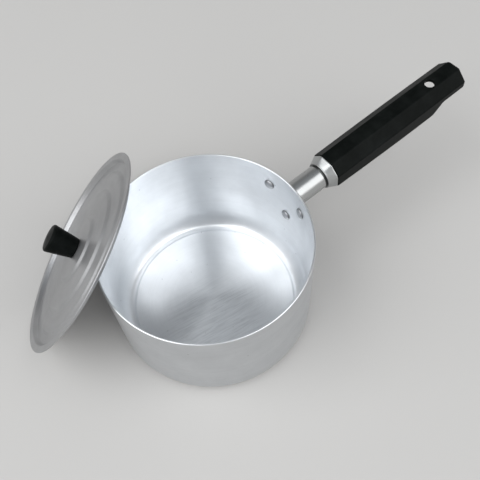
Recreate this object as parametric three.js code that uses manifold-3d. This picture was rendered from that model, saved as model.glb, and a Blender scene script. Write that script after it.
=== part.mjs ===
// Spun aluminium saucepan with a riveted handle and a lift-off lid that leans on the rim.
// Millimetres, +Z up. The origin is the centre of the flat base and the handle points along +X.
import * as THREE from 'three';
import { mergeVertices } from 'three/addons/utils/BufferGeometryUtils.js';
import Module from 'manifold-3d';

// Fits
const SEAT_GAP = 0.3; // between two pieces that touch
const FLOOR_GAP = 0.2; // between the leaning lid's edge and the surface the pan stands on

// Pan
const PAN_RIM_RADIUS = 80; // outside of the wall at the rim
const PAN_FOOT_RADIUS = 79; // outside of the wall where the base corner ends
const PAN_HEIGHT = 92.8;
const PAN_WALL = 1.5;
const PAN_FLOOR = 2.4;
const PAN_OUTER_CORNER = 10; // radius between base and wall, outside
const PAN_INNER_CORNER = 10; // radius between floor and wall, inside
const FLOOR_PANEL_RADIUS = 67.2; // raised flat of the floor
const FLOOR_PANEL_RISE = 0.5;
const FLOOR_PANEL_EDGE = 1.2; // width of its sloping edge

// Rivets
const RIVET_SHANK_RADIUS = 2.2;
const RIVET_HEAD_RADIUS = 4.4;
const RIVET_HEAD_HEIGHT = 1.6;
const RIVET_SPREAD_ANGLE = 13.5; // degrees, upper rivets either side of the handle
const UPPER_RIVET_DROP = 17.7; // below the rim
const LOWER_RIVET_DROP = 42.2;

// Handle bracket
const HANDLE_DROP = 21.8; // handle axis below the rim, at the wall
const HANDLE_RISE_ANGLE = 3.2; // degrees
const PLATE_THICKNESS = 2;
const PLATE_MARGIN = 8.5; // plate around each rivet's centre
const TUBE_RADIUS = 10.2;
const TUBE_LENGTH = 31; // along the axis, from the wall
const TUBE_WALL = 1.2;
const TUBE_FILLET = 3.5; // between the plate and the tube
const CUT_OVERRUN = 8; // blanks and cutters run this far past what they trim

// Nut, stud and insert that hold the grip
const STUD_RADIUS = 3;
const STUD_END_CHAMFER = 0.8;
const NUT_LENGTH = 8;
const STUD_NUT_OVERRUN = 1.5; // stud past the nut's inner face
const INSERT_RADIUS = 6;
const INSERT_LENGTH = 24;
const INSERT_INSET = 1; // insert's front behind the grip's front
const STUD_INSERT_OVERRUN = 3;
const BORE_END_ROOM = 2; // past the stud's tip

// Collar
const GROOVE_WIDTH = 1.6; // dark groove between tube and collar
const SPIGOT_LENGTH = 3.2; // collar's nose inside the tube
const COLLAR_FRONT_RADIUS = 11.65;
const COLLAR_LENGTH = 7.6;
const COLLAR_STEP = 0.3; // collar's back inside the grip's front, each side

// Grip
const GRIP_LENGTH = 145;
const GRIP_FLATS = 28.8; // across the flats at its front
const GRIP_SWELL = 0.3; // extra half width at mid length
const BELLY_DROP = 2; // underside below a regular octagon where the belly ends
const BELLY_LENGTH = 106; // from the front
const BELLY_ROUND = 2; // softened end of the belly
const UNDERCUT_RUN = 10; // length of the slope up to the hanging end
const TAB_UNDERSIDE = -1; // hanging end's lower edge, from the axis
const TAB_EDGE_CHAMFER = 1.2;
const TAB_END_CHAMFER_LENGTH = 4;
const TAB_END_CHAMFER = 3.5;
const TAB_TOP_WALL = 3;
const TAB_SIDE_WALL = 3;
const TAB_END_WALL = 4;
const HANG_HOLE_RADIUS = 4.2;
const HANG_HOLE_PLACE = 114; // hole's centre from the grip's front
const POCKET_LEAD = 6; // pocket before the hole's centre
const POCKET_DEPTH = 60; // cut through everything below

// Lid
const LID_OVERHANG = 2.6; // flange past the rim
const LID_SHEET = 1;
const LID_FIT = 1.3; // between the mouth of the pan and the lid's locating flank
const LID_FLANK_RUN = 2; // width of every sloping flank
const LID_RECESS_DEPTH = 3.5; // from the flange's face down to the recess
const LID_STEP_RADII = [67, 50, 26]; // middle of each step, from the recess to the centre
const LID_STEP_HEIGHT = 1.7;
const LID_LEAN_ANGLE = 52.4; // degrees from flat
const LID_LEAN_SIDE = 133.4; // degrees round from the handle
const LID_SIDE_SHIFT = 2.2; // leaning lid's centre beside the pan's axis

// Knob
const KNOB_BASE_RADIUS = 8;
const KNOB_TOP_RADIUS = 11.2;
const KNOB_HEIGHT = 21.5;
const KNOB_EDGE = 1; // rounded edge of the top
const KNOB_CROWN = 0.5; // dome of the top face
const KNOB_SCREW_RADIUS = 2;
const KNOB_SCREW_LENGTH = 13; // from under its head
const KNOB_SCREW_HEAD_RADIUS = 3.8;
const KNOB_SCREW_HEAD_HEIGHT = 2.2;
const KNOB_SCREW_DOME = 0.8; // rounded top of the head
const KNOB_WASHER_RADIUS = 5.5;
const KNOB_WASHER_THICKNESS = 0.8;
const KNOB_INSERT_RADIUS = 3.8;
const KNOB_INSERT_LENGTH = 9;
const KNOB_INSERT_INSET = 0.6;
const KNOB_BORE_END_ROOM = 1.5;

// Facets
const BODY_SIDES = 72; // round the pan and the lid
const TUBE_SIDES = 32; // round the bracket tube and the collar
const SMALL_SIDES = 20; // round rivets, screws and bores
const ARC_STEPS = 5;
const EDGE_STEPS = 3; // round the knob's edge
const BELLY_STEPS = 6;
const LEAN_PASSES = 4; // tries at finding where the leaning lid meets the rim
const MERGE_DISTANCE = 1e-4;

const OCTAGON_SIDES = 8;
const HALF_FACET = Math.PI / OCTAGON_SIDES;
const rad = THREE.MathUtils.degToRad;
const point = (x, y) => new THREE.Vector2(x, y);
const wasm = await Module();
wasm.setup();

// Points on an arc, angles in degrees
function arc(x, y, radius, from, to, steps = ARC_STEPS) {
  return Array.from({ length: steps + 1 }, (_, i) => {
    const angle = rad(THREE.MathUtils.lerp(from, to, i / steps));
    return point(x + radius * Math.cos(angle), y + radius * Math.sin(angle));
  });
}

// Profile of (radius, height) points turned about +Z
function revolve(profile, sides) {
  return new THREE.LatheGeometry(profile, sides).rotateX(Math.PI / 2);
}

// Profile of (radius, distance) points turned about +X
function revolveAlongX(profile, sides) {
  return revolve(profile, sides).rotateY(Math.PI / 2);
}

// Round bar along +X
function bar(radius, from, to, sides = SMALL_SIDES) {
  return revolveAlongX([point(0, from), point(radius, from), point(radius, to), point(0, to)], sides);
}

// Ring along +X with a plain bore
function sleeve(radius, bore, from, to, sides = SMALL_SIDES) {
  const profile = [point(bore, from), point(radius, from), point(radius, to), point(bore, to), point(bore, from)];
  return revolveAlongX(profile, sides);
}

// Skin over rings of points that follow each other along +X, with flat ends or joined end to end
function loft(rings, joined = false) {
  const sides = rings[0].length;
  const vertices = rings.flat().flatMap((p) => [p.x, p.y, p.z]);
  const index = [];
  const last = joined ? rings.length : rings.length - 1;
  for (let i = 0; i < last; i++) {
    const row = i * sides;
    const next = ((i + 1) % rings.length) * sides;
    for (let j = 0; j < sides; j++) {
      const k = (j + 1) % sides;
      index.push(row + j, row + k, next + k, row + j, next + k, next + j);
    }
  }
  if (!joined) {
    const back = (rings.length - 1) * sides;
    for (let j = 1; j < sides - 1; j++) {
      index.push(0, j + 1, j, back, back + j, back + j + 1);
    }
  }
  const geometry = new THREE.BufferGeometry();
  geometry.setAttribute('position', new THREE.Float32BufferAttribute(vertices, 3));
  geometry.setIndex(index);
  return geometry;
}

// Closed geometry as a solid for joining and cutting
function solid(geometry) {
  const bare = geometry.clone();
  bare.deleteAttribute('normal');
  bare.deleteAttribute('uv');
  const merged = mergeVertices(bare, MERGE_DISTANCE);
  const index = Array.from(merged.index.array);
  const triangles = [];
  for (let i = 0; i < index.length; i += 3) {
    const corners = index.slice(i, i + 3);
    if (new Set(corners).size === 3) {
      triangles.push(...corners);
    }
  }
  return new wasm.Manifold(
    new wasm.Mesh({
      numProp: 3,
      vertProperties: new Float32Array(merged.attributes.position.array),
      triVerts: new Uint32Array(triangles),
    }),
  );
}

// Solid back to a geometry
function shape(body) {
  const mesh = body.getMesh();
  const geometry = new THREE.BufferGeometry();
  geometry.setAttribute('position', new THREE.BufferAttribute(mesh.vertProperties, 3));
  geometry.setIndex(new THREE.BufferAttribute(mesh.triVerts, 1));
  return geometry;
}

function piece(name, geometry, color, roughness, metalness) {
  const mesh = new THREE.Mesh(geometry, new THREE.MeshStandardMaterial({ color, roughness, metalness }));
  mesh.name = name;
  return mesh;
}

const SATIN_ALUMINIUM = [0xc9cdd2, 0.4, 1];
const BRIGHT_STEEL = [0xbfc3c6, 0.2, 1];
const BLACK_BAKELITE = [0x0d100e, 0.35, 0];
const YELLOW_BRASS = [0xb99a52, 0.35, 1];

// Outside of the pan's wall at a height
function wallRadius(z) {
  const share = (z - PAN_OUTER_CORNER) / (PAN_HEIGHT - PAN_OUTER_CORNER);
  return THREE.MathUtils.lerp(PAN_FOOT_RADIUS, PAN_RIM_RADIUS, share);
}

// Rivet places: degrees round from the handle, and height
const RIVETS = [
  { name: 'rivet_upper_left', angle: RIVET_SPREAD_ANGLE, z: PAN_HEIGHT - UPPER_RIVET_DROP },
  { name: 'rivet_upper_right', angle: -RIVET_SPREAD_ANGLE, z: PAN_HEIGHT - UPPER_RIVET_DROP },
  { name: 'rivet_lower', angle: 0, z: PAN_HEIGHT - LOWER_RIVET_DROP },
];
const rivetHoleRadius = RIVET_SHANK_RADIUS + SEAT_GAP;

function rivetHole({ angle, z }) {
  const hole = bar(rivetHoleRadius, wallRadius(z) - CUT_OVERRUN, wallRadius(z) + CUT_OVERRUN);
  return solid(hole.rotateZ(rad(angle)).translate(0, 0, z));
}

// Pan body: one spun cup, drilled for the rivets
const panOutside = [
  point(0, 0),
  ...arc(PAN_FOOT_RADIUS - PAN_OUTER_CORNER, PAN_OUTER_CORNER, PAN_OUTER_CORNER, -90, 0),
  ...arc(PAN_RIM_RADIUS - PAN_WALL / 2, PAN_HEIGHT - PAN_WALL / 2, PAN_WALL / 2, 0, 180),
];

function panBody() {
  const innerFoot = PAN_FOOT_RADIUS - PAN_WALL - PAN_INNER_CORNER;
  const inside = [
    ...arc(innerFoot, PAN_FLOOR + PAN_INNER_CORNER, PAN_INNER_CORNER, 0, -90),
    point(FLOOR_PANEL_RADIUS, PAN_FLOOR),
    point(FLOOR_PANEL_RADIUS - FLOOR_PANEL_EDGE, PAN_FLOOR + FLOOR_PANEL_RISE),
    point(0, PAN_FLOOR + FLOOR_PANEL_RISE),
  ];
  const cup = solid(revolve([...panOutside, ...inside], BODY_SIDES));
  return shape(RIVETS.reduce((body, rivet) => body.subtract(rivetHole(rivet)), cup));
}

// Rivet along +X: a domed head inside the pan, a shank and a domed head on the plate
function rivetBody({ z }) {
  const inner = wallRadius(z) - PAN_WALL - SEAT_GAP;
  const outer = wallRadius(z) + SEAT_GAP + PLATE_THICKNESS + SEAT_GAP;
  const dome = (from, to) => arc(0, 0, 1, from, to);
  const innerHead = dome(-90, 0).map((p) => point(RIVET_HEAD_RADIUS * p.x, inner + RIVET_HEAD_HEIGHT * p.y));
  const outerHead = dome(0, 90).map((p) => point(RIVET_HEAD_RADIUS * p.x, outer + RIVET_HEAD_HEIGHT * p.y));
  const shank = [point(RIVET_SHANK_RADIUS, inner), point(RIVET_SHANK_RADIUS, outer)];
  return revolveAlongX([...innerHead, ...shank, ...outerHead], SMALL_SIDES);
}

// Handle axis: it leaves the wall at this height and rises outward
const handleFrame = new THREE.Group();
const handleHeight = PAN_HEIGHT - HANDLE_DROP;
handleFrame.position.set(wallRadius(handleHeight), 0, handleHeight);
handleFrame.rotation.y = -rad(HANDLE_RISE_ANGLE);
handleFrame.updateMatrix();

const tubeBore = TUBE_RADIUS - TUBE_WALL;

// Outline of the bracket's plate seen along the handle: a triangle round the three rivets
function plateOutline() {
  const [upper, , lower] = RIVETS;
  const reach = wallRadius(upper.z) * Math.sin(rad(upper.angle));
  const slope = THREE.MathUtils.radToDeg(Math.atan2(reach, upper.z - lower.z));
  return new THREE.Shape([
    ...arc(reach, upper.z, PLATE_MARGIN, -slope, 90),
    ...arc(-reach, upper.z, PLATE_MARGIN, 90, 180 + slope),
    ...arc(0, lower.z, PLATE_MARGIN, 180 + slope, 360 - slope),
  ]);
}

// Bracket: a plate pressed to the wall's curve with a round tube drawn out of it
function bracketBody() {
  const seat = (z) => wallRadius(z) + SEAT_GAP;
  const shell = revolve(
    [
      point(seat(0), 0),
      point(seat(0) + PLATE_THICKNESS, 0),
      point(seat(PAN_HEIGHT) + PLATE_THICKNESS, PAN_HEIGHT),
      point(seat(PAN_HEIGHT), PAN_HEIGHT),
      point(seat(0), 0),
    ],
    BODY_SIDES,
  );
  const core = revolve(
    [point(0, 0), point(seat(0), 0), point(seat(PAN_HEIGHT), PAN_HEIGHT), point(0, PAN_HEIGHT)],
    BODY_SIDES,
  );
  const outline = new THREE.ExtrudeGeometry(plateOutline(), { depth: 2 * PAN_RIM_RADIUS, bevelEnabled: false });
  const alongX = new THREE.Matrix4().makeBasis(
    new THREE.Vector3(0, 1, 0),
    new THREE.Vector3(0, 0, 1),
    new THREE.Vector3(1, 0, 0),
  );
  const plate = solid(shell).intersect(solid(outline.applyMatrix4(alongX)));
  const tube = revolveAlongX(
    [
      point(0, -CUT_OVERRUN),
      point(TUBE_RADIUS + TUBE_FILLET, -CUT_OVERRUN),
      ...arc(TUBE_RADIUS + TUBE_FILLET, PLATE_THICKNESS + TUBE_FILLET, TUBE_FILLET, 270, 180),
      point(TUBE_RADIUS, TUBE_LENGTH),
      point(0, TUBE_LENGTH),
    ],
    TUBE_SIDES,
  );
  const bore = bar(tubeBore, -CUT_OVERRUN, TUBE_LENGTH + CUT_OVERRUN, TUBE_SIDES);
  const inPlace = (geometry) => solid(geometry.applyMatrix4(handleFrame.matrix));
  const joined = plate.add(inPlace(tube)).subtract(solid(core)).subtract(inPlace(bore));
  return shape(RIVETS.reduce((body, rivet) => body.subtract(rivetHole(rivet)), joined));
}

// Places along the handle axis, from the wall
const spigotStart = TUBE_LENGTH - SPIGOT_LENGTH;
const nutEnd = spigotStart - SEAT_GAP;
const nutStart = nutEnd - NUT_LENGTH;
const collarFront = TUBE_LENGTH + GROOVE_WIDTH;
const collarBack = collarFront + COLLAR_LENGTH;
const gripFront = collarBack + SEAT_GAP;
const gripBack = gripFront + GRIP_LENGTH;
const insertStart = gripFront + INSERT_INSET;
const insertEnd = insertStart + INSERT_LENGTH;
const studEnd = insertEnd + STUD_INSERT_OVERRUN;
const studBore = STUD_RADIUS + SEAT_GAP;

// Nut: a threaded plug fixed in the open end of the tube
function nutBody() {
  return sleeve(tubeBore - SEAT_GAP, studBore, nutStart, nutEnd, TUBE_SIDES);
}

// Stud: a threaded rod from the nut, through the collar, into the grip's insert
function studBody() {
  const start = nutStart - STUD_NUT_OVERRUN;
  const tip = STUD_RADIUS - STUD_END_CHAMFER;
  const profile = [
    point(0, start),
    point(tip, start),
    point(STUD_RADIUS, start + STUD_END_CHAMFER),
    point(STUD_RADIUS, studEnd - STUD_END_CHAMFER),
    point(tip, studEnd),
    point(0, studEnd),
  ];
  return revolveAlongX(profile, SMALL_SIDES);
}

// Ring of points round the handle axis
function ring(x, radiusAt) {
  return Array.from({ length: TUBE_SIDES }, (_, i) => {
    const angle = (2 * Math.PI * i) / TUBE_SIDES;
    const radius = radiusAt(angle);
    return new THREE.Vector3(x, radius * Math.cos(angle), radius * Math.sin(angle));
  });
}

// Distance from the axis to a regular octagon with a flat on top
function octagonRadius(angle, halfFlats) {
  const turn = 2 * HALF_FACET;
  const offset = angle - turn * Math.round(angle / turn);
  return halfFlats / Math.cos(offset);
}

// Collar: round where it meets the tube, eight-sided where it meets the grip
function collarBody() {
  const round = (radius) => () => radius;
  const spigot = tubeBore - SEAT_GAP;
  const backFlats = GRIP_FLATS / 2 - COLLAR_STEP;
  return loft(
    [
      ring(spigotStart, round(spigot)),
      ring(collarFront, round(spigot)),
      ring(collarFront, round(COLLAR_FRONT_RADIUS)),
      ring(collarBack, (angle) => octagonRadius(angle, backFlats)),
      ring(collarBack, round(studBore)),
      ring(spigotStart, round(studBore)),
    ],
    true,
  );
}

// Eight-sided section of the grip: upper and lower corners cut at 45 degrees
function gripSection(x, half, bottom, lowerCut) {
  const upperCut = half * (1 - Math.tan(HALF_FACET));
  const right = [
    [half - lowerCut, bottom],
    [half, bottom + lowerCut],
    [half, half - upperCut],
    [half - upperCut, half],
  ];
  const left = right.map(([y, z]) => [-y, z]).reverse();
  return [...right, ...left].map(([y, z]) => new THREE.Vector3(x, y, z));
}

// Grip: moulded eight-sided bar with a deeper belly and a cored hanging end
function gripBody() {
  const half = (share) => GRIP_FLATS / 2 + GRIP_SWELL * Math.sin(Math.PI * share);
  const cut = (width) => width * (1 - Math.tan(HALF_FACET));
  const sections = [];
  for (let i = 0; i <= BELLY_STEPS; i++) {
    const share = i / BELLY_STEPS;
    const x = share * BELLY_LENGTH;
    const width = half(x / GRIP_LENGTH);
    const drop = BELLY_DROP * Math.sin((share * Math.PI) / 2);
    sections.push([x, width, -width - drop, cut(width)]);
  }
  const bellyEnd = BELLY_LENGTH + BELLY_ROUND;
  const tabStart = bellyEnd + UNDERCUT_RUN;
  const tabEnd = GRIP_LENGTH - TAB_END_CHAMFER_LENGTH;
  const bellyWidth = half(bellyEnd / GRIP_LENGTH);
  const tabWidth = half(tabStart / GRIP_LENGTH);
  const endWidth = half(tabEnd / GRIP_LENGTH);
  const tip = endWidth - TAB_END_CHAMFER;
  sections.push([bellyEnd, bellyWidth, -bellyWidth - BELLY_DROP + BELLY_ROUND, cut(bellyWidth)]);
  sections.push([tabStart, tabWidth, TAB_UNDERSIDE, TAB_EDGE_CHAMFER]);
  sections.push([tabEnd, endWidth, TAB_UNDERSIDE, TAB_EDGE_CHAMFER]);
  sections.push([GRIP_LENGTH, tip, TAB_UNDERSIDE + TAB_EDGE_CHAMFER, TAB_EDGE_CHAMFER]);
  const octagonBar = loft(sections.map(([x, ...size]) => gripSection(gripFront + x, ...size)));

  const insertBore = bar(INSERT_RADIUS + SEAT_GAP, gripFront - INSERT_INSET, insertEnd + SEAT_GAP);
  const studTipBore = bar(studBore, gripFront, studEnd + BORE_END_ROOM);

  const pocketWidth = tabWidth - TAB_SIDE_WALL;
  const pocketTop = tabWidth - TAB_TOP_WALL;
  const pocketCut = pocketWidth - (tabWidth - cut(tabWidth)) + (TAB_TOP_WALL - TAB_SIDE_WALL);
  const pocketStart = gripFront + HANG_HOLE_PLACE - POCKET_LEAD;
  const pocketEnd = gripBack - TAB_END_WALL;
  const pocketRing = (x) => [
    new THREE.Vector3(x, pocketWidth, pocketTop - POCKET_DEPTH),
    new THREE.Vector3(x, pocketWidth, pocketTop - pocketCut),
    new THREE.Vector3(x, pocketWidth - pocketCut, pocketTop),
    new THREE.Vector3(x, pocketCut - pocketWidth, pocketTop),
    new THREE.Vector3(x, -pocketWidth, pocketTop - pocketCut),
    new THREE.Vector3(x, -pocketWidth, pocketTop - POCKET_DEPTH),
  ];
  const pocket = loft([pocketRing(pocketStart), pocketRing(pocketEnd)]);
  const holeTop = tabWidth + GRIP_SWELL + SEAT_GAP;
  const hole = new THREE.CylinderGeometry(HANG_HOLE_RADIUS, HANG_HOLE_RADIUS, 2 * holeTop, SMALL_SIDES);
  hole.rotateX(Math.PI / 2).translate(gripFront + HANG_HOLE_PLACE, 0, holeTop);

  return shape(
    solid(octagonBar)
      .subtract(solid(insertBore))
      .subtract(solid(studTipBore))
      .subtract(solid(pocket))
      .subtract(solid(hole)),
  );
}

// Lid: top side of the pressed sheet from the centre out, heights from the flange's underside
const lidRadius = PAN_RIM_RADIUS + LID_OVERHANG;
const lidPlugRadius = PAN_RIM_RADIUS - PAN_WALL - LID_FIT;
const lidHole = KNOB_SCREW_RADIUS + SEAT_GAP;
const recessHeight = LID_SHEET - LID_RECESS_DEPTH;
const lidCentreHeight = recessHeight + LID_STEP_RADII.length * LID_STEP_HEIGHT;

function lidTop() {
  const steps = LID_STEP_RADII.map((radius, i) => [
    point(radius + LID_FLANK_RUN / 2, recessHeight + i * LID_STEP_HEIGHT),
    point(radius - LID_FLANK_RUN / 2, recessHeight + (i + 1) * LID_STEP_HEIGHT),
  ]);
  return [
    point(lidHole, lidCentreHeight),
    ...steps.flat().reverse(),
    point(lidPlugRadius - LID_FLANK_RUN, recessHeight),
    point(lidPlugRadius, LID_SHEET),
    point(lidRadius, LID_SHEET),
  ];
}

const lidUnderside = lidTop().map((p) => point(p.x, p.y - LID_SHEET));

function lidBody() {
  const top = lidTop().reverse();
  return revolve([...lidUnderside, ...top, lidUnderside[0]], BODY_SIDES);
}

// Height of the lid's underside at a radius
function undersideAt(radius) {
  const outer = lidUnderside.findIndex((p) => p.x >= radius);
  const b = lidUnderside[Math.max(outer, 1)];
  const a = lidUnderside[Math.max(outer, 1) - 1];
  return THREE.MathUtils.mapLinear(radius, a.x, b.x, a.y, b.y);
}

// Where the lid's centre lies when its edge stands on the floor and the rim meets its underside.
// The meeting radius depends on the place, so it settles in a few passes.
function leaningPlace() {
  const sin = Math.sin(rad(LID_LEAN_ANGLE));
  const cos = Math.cos(rad(LID_LEAN_ANGLE));
  const height = lidRadius * sin + FLOOR_GAP;
  const rim = panOutside.reduce((best, p) => (p.x * sin + p.y * cos > best.x * sin + best.y * cos ? p : best));
  let meeting = lidRadius / 2;
  let out = 0;
  for (let i = 0; i < LEAN_PASSES; i++) {
    const level = rim.x * sin + rim.y * cos + SEAT_GAP - undersideAt(Math.hypot(meeting, LID_SIDE_SHIFT));
    out = (level - height * cos) / sin;
    meeting = (out - rim.x) * cos + (rim.y - height) * sin;
  }
  return point(out, height);
}

// Knob: a tapered moulding with a blind bore for its insert
const knobSeat = lidCentreHeight + SEAT_GAP;
const knobInsertStart = knobSeat + KNOB_INSERT_INSET;
const washerTop = lidCentreHeight - LID_SHEET - SEAT_GAP;
const screwSeat = washerTop - KNOB_WASHER_THICKNESS - SEAT_GAP;
const knobScrewBore = KNOB_SCREW_RADIUS + SEAT_GAP;

function knobBody() {
  const top = knobSeat + KNOB_HEIGHT;
  const boreEnd = Math.max(screwSeat + KNOB_SCREW_LENGTH, knobInsertStart + KNOB_INSERT_LENGTH) + KNOB_BORE_END_ROOM;
  const bore = KNOB_INSERT_RADIUS + SEAT_GAP;
  const profile = [
    point(bore, knobSeat),
    point(KNOB_BASE_RADIUS, knobSeat),
    ...arc(KNOB_TOP_RADIUS - KNOB_EDGE, top - KNOB_EDGE, KNOB_EDGE, 0, 90, EDGE_STEPS),
    point(0, top + KNOB_CROWN),
    point(0, boreEnd),
    point(bore, boreEnd),
    point(bore, knobSeat),
  ];
  return shape(solid(revolve(profile, TUBE_SIDES)));
}

// Brass insert moulded into the knob
function knobInsertBody() {
  const top = knobInsertStart + KNOB_INSERT_LENGTH;
  return sleeve(KNOB_INSERT_RADIUS, knobScrewBore, knobInsertStart, top).rotateY(-Math.PI / 2);
}

function knobWasherBody() {
  const bottom = washerTop - KNOB_WASHER_THICKNESS;
  return sleeve(KNOB_WASHER_RADIUS, knobScrewBore, bottom, washerTop).rotateY(-Math.PI / 2);
}

// Screw from under the lid, with a rounded head
function knobScrewBody() {
  const headTop = screwSeat - KNOB_SCREW_HEAD_HEIGHT;
  const profile = [
    point(0, headTop),
    point(KNOB_SCREW_HEAD_RADIUS - KNOB_SCREW_DOME, headTop),
    point(KNOB_SCREW_HEAD_RADIUS, headTop + KNOB_SCREW_DOME),
    point(KNOB_SCREW_HEAD_RADIUS, screwSeat),
    point(KNOB_SCREW_RADIUS, screwSeat),
    point(KNOB_SCREW_RADIUS, screwSeat + KNOB_SCREW_LENGTH),
    point(0, screwSeat + KNOB_SCREW_LENGTH),
  ];
  return revolve(profile, SMALL_SIDES);
}

// Assembly
const saucepan = new THREE.Group();
saucepan.add(piece('pan_body', panBody(), ...SATIN_ALUMINIUM));
saucepan.add(piece('handle_bracket', bracketBody(), ...BRIGHT_STEEL));
for (const rivet of RIVETS) {
  const mesh = piece(rivet.name, rivetBody(rivet), ...SATIN_ALUMINIUM);
  mesh.rotation.z = rad(rivet.angle);
  mesh.position.z = rivet.z;
  saucepan.add(mesh);
}

handleFrame.add(piece('bracket_nut', nutBody(), ...BRIGHT_STEEL));
handleFrame.add(piece('handle_stud', studBody(), ...BRIGHT_STEEL));
handleFrame.add(piece('handle_collar', collarBody(), ...BRIGHT_STEEL));
handleFrame.add(piece('grip_insert', sleeve(INSERT_RADIUS, studBore, insertStart, insertEnd), ...YELLOW_BRASS));
handleFrame.add(piece('handle_grip', gripBody(), ...BLACK_BAKELITE));
saucepan.add(handleFrame);

const place = leaningPlace();
const lidSide = new THREE.Group();
const lid = new THREE.Group();
lidSide.rotation.z = rad(LID_LEAN_SIDE);
lid.position.set(place.x, LID_SIDE_SHIFT, place.y);
lid.rotation.y = rad(LID_LEAN_ANGLE);
lid.add(piece('lid_disc', lidBody(), ...SATIN_ALUMINIUM));
lid.add(piece('lid_knob', knobBody(), ...BLACK_BAKELITE));
lid.add(piece('knob_insert', knobInsertBody(), ...YELLOW_BRASS));
lid.add(piece('knob_washer', knobWasherBody(), ...BRIGHT_STEEL));
lid.add(piece('knob_screw', knobScrewBody(), ...BRIGHT_STEEL));
lidSide.add(lid);
saucepan.add(lidSide);

export default saucepan;
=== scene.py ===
import math

import bmesh
import bpy
import numpy as np
from mathutils import Matrix, Vector


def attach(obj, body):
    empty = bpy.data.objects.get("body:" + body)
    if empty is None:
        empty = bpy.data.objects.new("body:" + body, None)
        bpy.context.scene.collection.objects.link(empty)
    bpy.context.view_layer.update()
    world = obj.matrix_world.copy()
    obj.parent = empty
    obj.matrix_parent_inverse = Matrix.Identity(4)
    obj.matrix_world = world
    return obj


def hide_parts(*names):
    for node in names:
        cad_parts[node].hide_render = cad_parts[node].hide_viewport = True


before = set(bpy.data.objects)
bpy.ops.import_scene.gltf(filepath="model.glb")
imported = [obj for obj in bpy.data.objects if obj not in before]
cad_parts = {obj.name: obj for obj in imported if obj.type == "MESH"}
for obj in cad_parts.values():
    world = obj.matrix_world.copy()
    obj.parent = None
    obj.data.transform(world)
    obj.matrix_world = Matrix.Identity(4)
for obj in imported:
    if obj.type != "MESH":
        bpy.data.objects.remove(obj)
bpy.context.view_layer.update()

# Pan body. A cup spun on a lathe from one disc of aluminium and left satin, its rim eased, its floor
# pressed up inside a ring, its outside painted darker than its inside as painted shade. Lengths are
# millimetres here and below, except for noise, scratches, bumps, the merge distance, the ground, lamps and
# camera, which are in metres.
PAN_RIM_RADIUS = 80.0
PAN_FOOT_RADIUS = 79.0
PAN_HEIGHT = 92.8
PAN_WALL = 1.5
PAN_FLOOR = 2.4
PAN_OUTER_CORNER = 10.0
RIM_ROUND_SHARE = 0.49
COVE_HEIGHT = 7.2
COVE_HIGH_RADIUS = 18.0
COVE_LOW_RADIUS = 5.6
FLOOR_PANEL_RADIUS = 67.2
FLOOR_PANEL_EDGE = 1.8
FLOOR_PANEL_RISE = 0.8
FLOOR_PANEL_BEND = 0.9
PAN_SEGMENTS = 288
PAN_STEP = 2.5
PAN_ARC_STEPS = 10
ARC_STEPS = 6
SHARP_ANGLE = 38.0
MERGE_DISTANCE = 1e-7
MM_PER_METRE = 1000.0
PAN_COLOUR = (0.877, 0.900, 0.924)
PAN_ROUGHNESS = 0.34
PAN_ANISOTROPY = 0.6
PAN_OUTSIDE_SHADE_TONE = (0.70, 0.70, 0.70)
PAN_RIM_BLEND = 2.0
FINE_RINGS = (2400.0, 3.0)
BROAD_RINGS = (230.0, 2.0)
FINE_SHARE = 0.75
RING_BUMP = (0.12, 0.0002)
HANDLING_MARKS = (34.0, 5.0, 0.6)
RING_SHARE = 0.4
TONE_SPAN = (0.35, 0.65)
DULL_TONE = 0.92
CLEAN_TONE = 1.04
GLOSS_SPREAD = 0.05
SPECK_GRID = (60.0, 29.0, 1.0)
SPECK_RARITY = (0.86, 0.90)
SPECK_STRENGTH = 0.55
SPECK_BORDER = (0.018, 0.050)
SPECK_TONE = 0.5
SCRATCH_COLOUR = (0.50, 0.52, 0.54)
SCRATCH_PLACE = (-0.0131, -0.0215, 0.003)
SCRATCH_REACH = (0.020, 0.050)
SCRATCH_STRENGTH = 0.85
FLOOR_BLEND = 0.2
STREAK_ANGLE = -8.5
STREAK_SIZE = (0.024, 0.0016, 1.0)
STREAK_NOISE = (1.0, 4.0, 0.6, 0.5)
STREAK_SPAN = (0.43, 0.60)
SMUDGE_NOISE = (60.0, 3.0)
SMUDGE_SPAN = (0.36, 0.64)
SMUDGE_LEAST = 0.65
MIX_SHARE, MIX_FIRST, MIX_SECOND, MIX_RESULT = 0, 6, 7, 2


def unit(v):
    """A vector divided by its own length, along the last axis."""
    return v / np.linalg.norm(v, axis=-1, keepdims=True)


def half_angle(back, ahead):
    """Half of the angle between two unit vectors: the arc cosine of their product, halved."""
    return np.arccos(np.clip((back * ahead).sum(axis=-1, keepdims=True), -1, 1)) / 2


def corner_arc(spot, back, ahead, radius, share):
    """Arc that touches both sides of a corner. Its centre lies on the line that halves the corner, at
    radius over the sine of half the angle. Its ends lie on the sides, at radius over the tangent. Share
    runs from one end to the other, mixed by the sines of what is left and what is done of the turn."""
    half = half_angle(back, ahead)
    centre = spot + unit(back + ahead) * radius / np.sin(half)
    start = (spot + back * radius / np.tan(half) - centre)[..., None, :]
    end = (spot + ahead * radius / np.tan(half) - centre)[..., None, :]
    sweep = (np.pi - 2 * half)[..., None, :]
    mixed = np.sin((1 - share) * sweep) * start + np.sin(share * sweep) * end
    return centre[..., None, :] + mixed / np.sin(sweep)


def rounded(corners, steps=ARC_STEPS):
    """Line through corners (x, y, radius). A corner that has a radius becomes an arc of so many steps."""
    spots = np.array([corner[:2] for corner in corners], float)
    share = np.linspace(0, 1, steps + 1)[:, None]
    line = []
    for i, (_, _, radius) in enumerate(corners):
        if radius == 0:
            line.append(spots[i:i + 1])
            continue
        back = unit(spots[i - 1] - spots[i])
        ahead = unit(spots[i + 1] - spots[i])
        line.append(corner_arc(spots[i], back, ahead, radius, share))
    return np.concatenate(line)


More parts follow.
